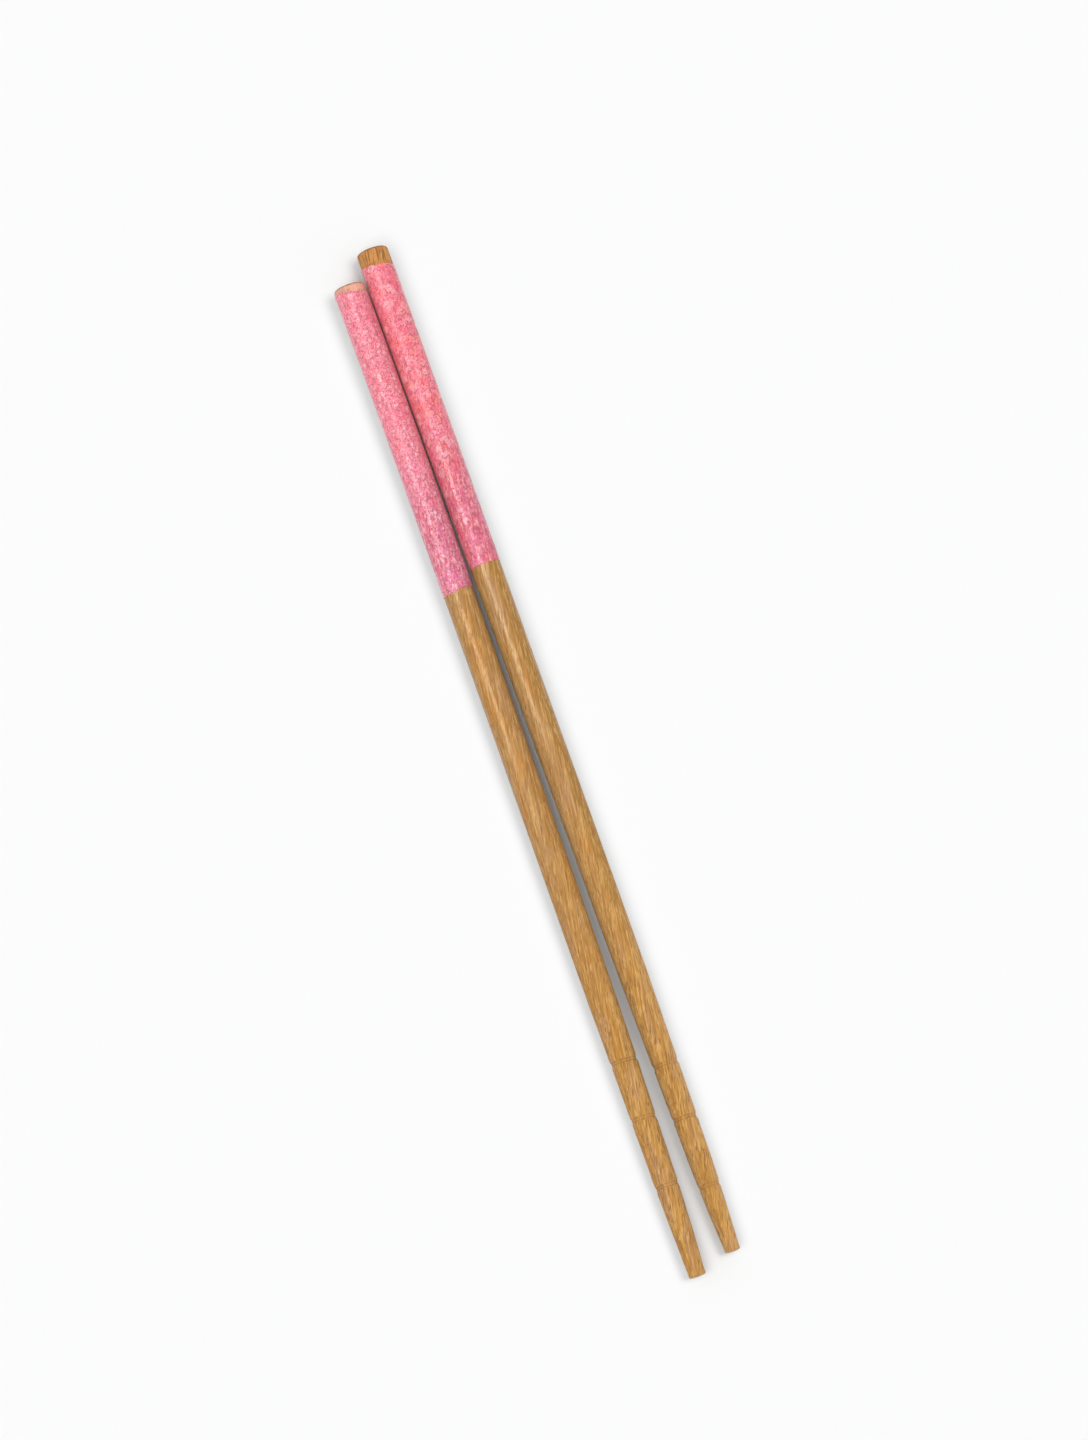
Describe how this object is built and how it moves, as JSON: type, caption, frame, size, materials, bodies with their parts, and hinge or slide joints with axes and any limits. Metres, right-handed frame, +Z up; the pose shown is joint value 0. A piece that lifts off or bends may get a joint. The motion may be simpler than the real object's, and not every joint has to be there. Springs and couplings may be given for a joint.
{
  "type": "pair of wooden chopsticks",
  "caption": "Round tapered wooden chopsticks lying side by side, with ring-grooved tips and pink film sleeves on the handles, for picking up food.",
  "frame": {"origin": "on the table, under the middle of the pair's box", "axes": "+Z up from the table, +Y along the pair from tips to butts, +X from the left to the right stick"},
  "size_m": [0.0144, 0.229, 0.0071],
  "materials": {
    "wood": "satin lacquer",
    "film": "pink flake pattern, semi-gloss"
  },
  "bodies": {
    "root": {"left_stick": "wood", "right_stick": "wood", "left_wrap": "film", "right_wrap": "film"}
  },
  "joints": []
}
